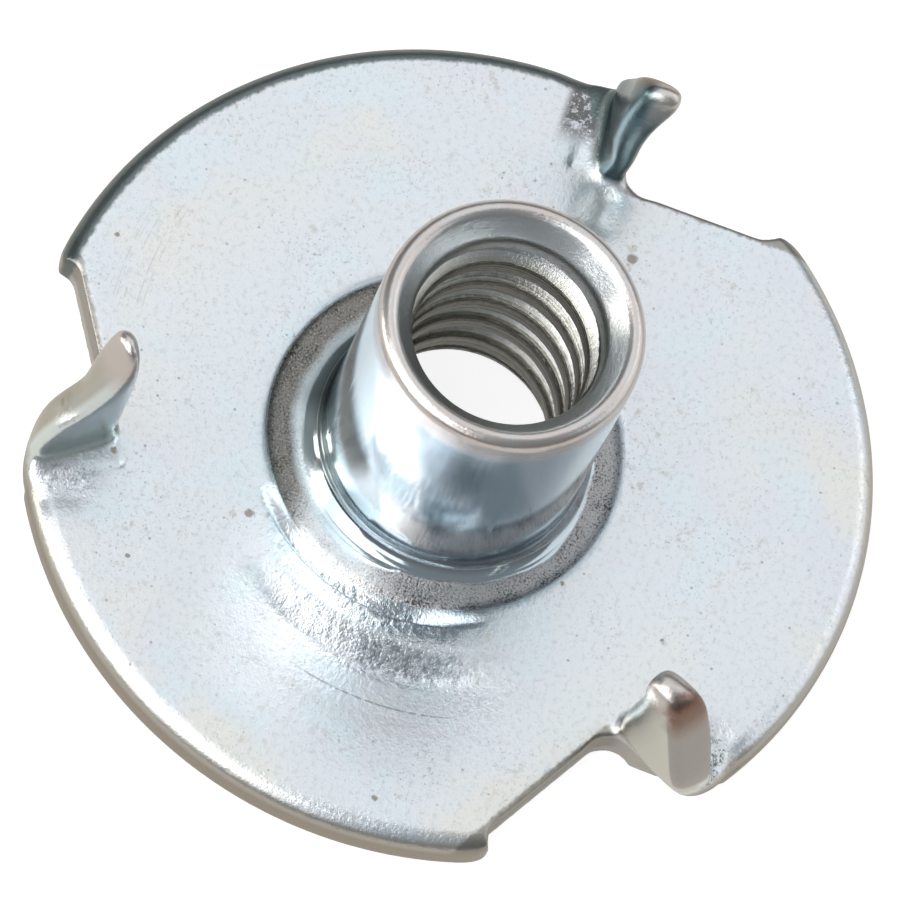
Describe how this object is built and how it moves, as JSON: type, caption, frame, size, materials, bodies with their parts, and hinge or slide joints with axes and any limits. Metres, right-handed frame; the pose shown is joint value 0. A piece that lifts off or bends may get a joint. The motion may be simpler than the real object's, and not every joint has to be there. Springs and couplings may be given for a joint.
{
  "type": "tee nut",
  "caption": "Pressed steel tee nut: round flange with bent-up prongs round a drawn, internally threaded barrel, zinc plated.",
  "frame": {"origin": "centre of the flange's underside, on the axis of the barrel", "axes": "+Z along the barrel from the flange to the mouth; +X square to the straight cut of the first prong"},
  "size_m": [0.019, 0.019, 0.0079],
  "materials": {
    "zinc_steel": "bright zinc plating, satin, with fine pits and a faint straw tint near the rim"
  },
  "bodies": {
    "root": {"tee_nut": "zinc_steel"}
  },
  "joints": []
}
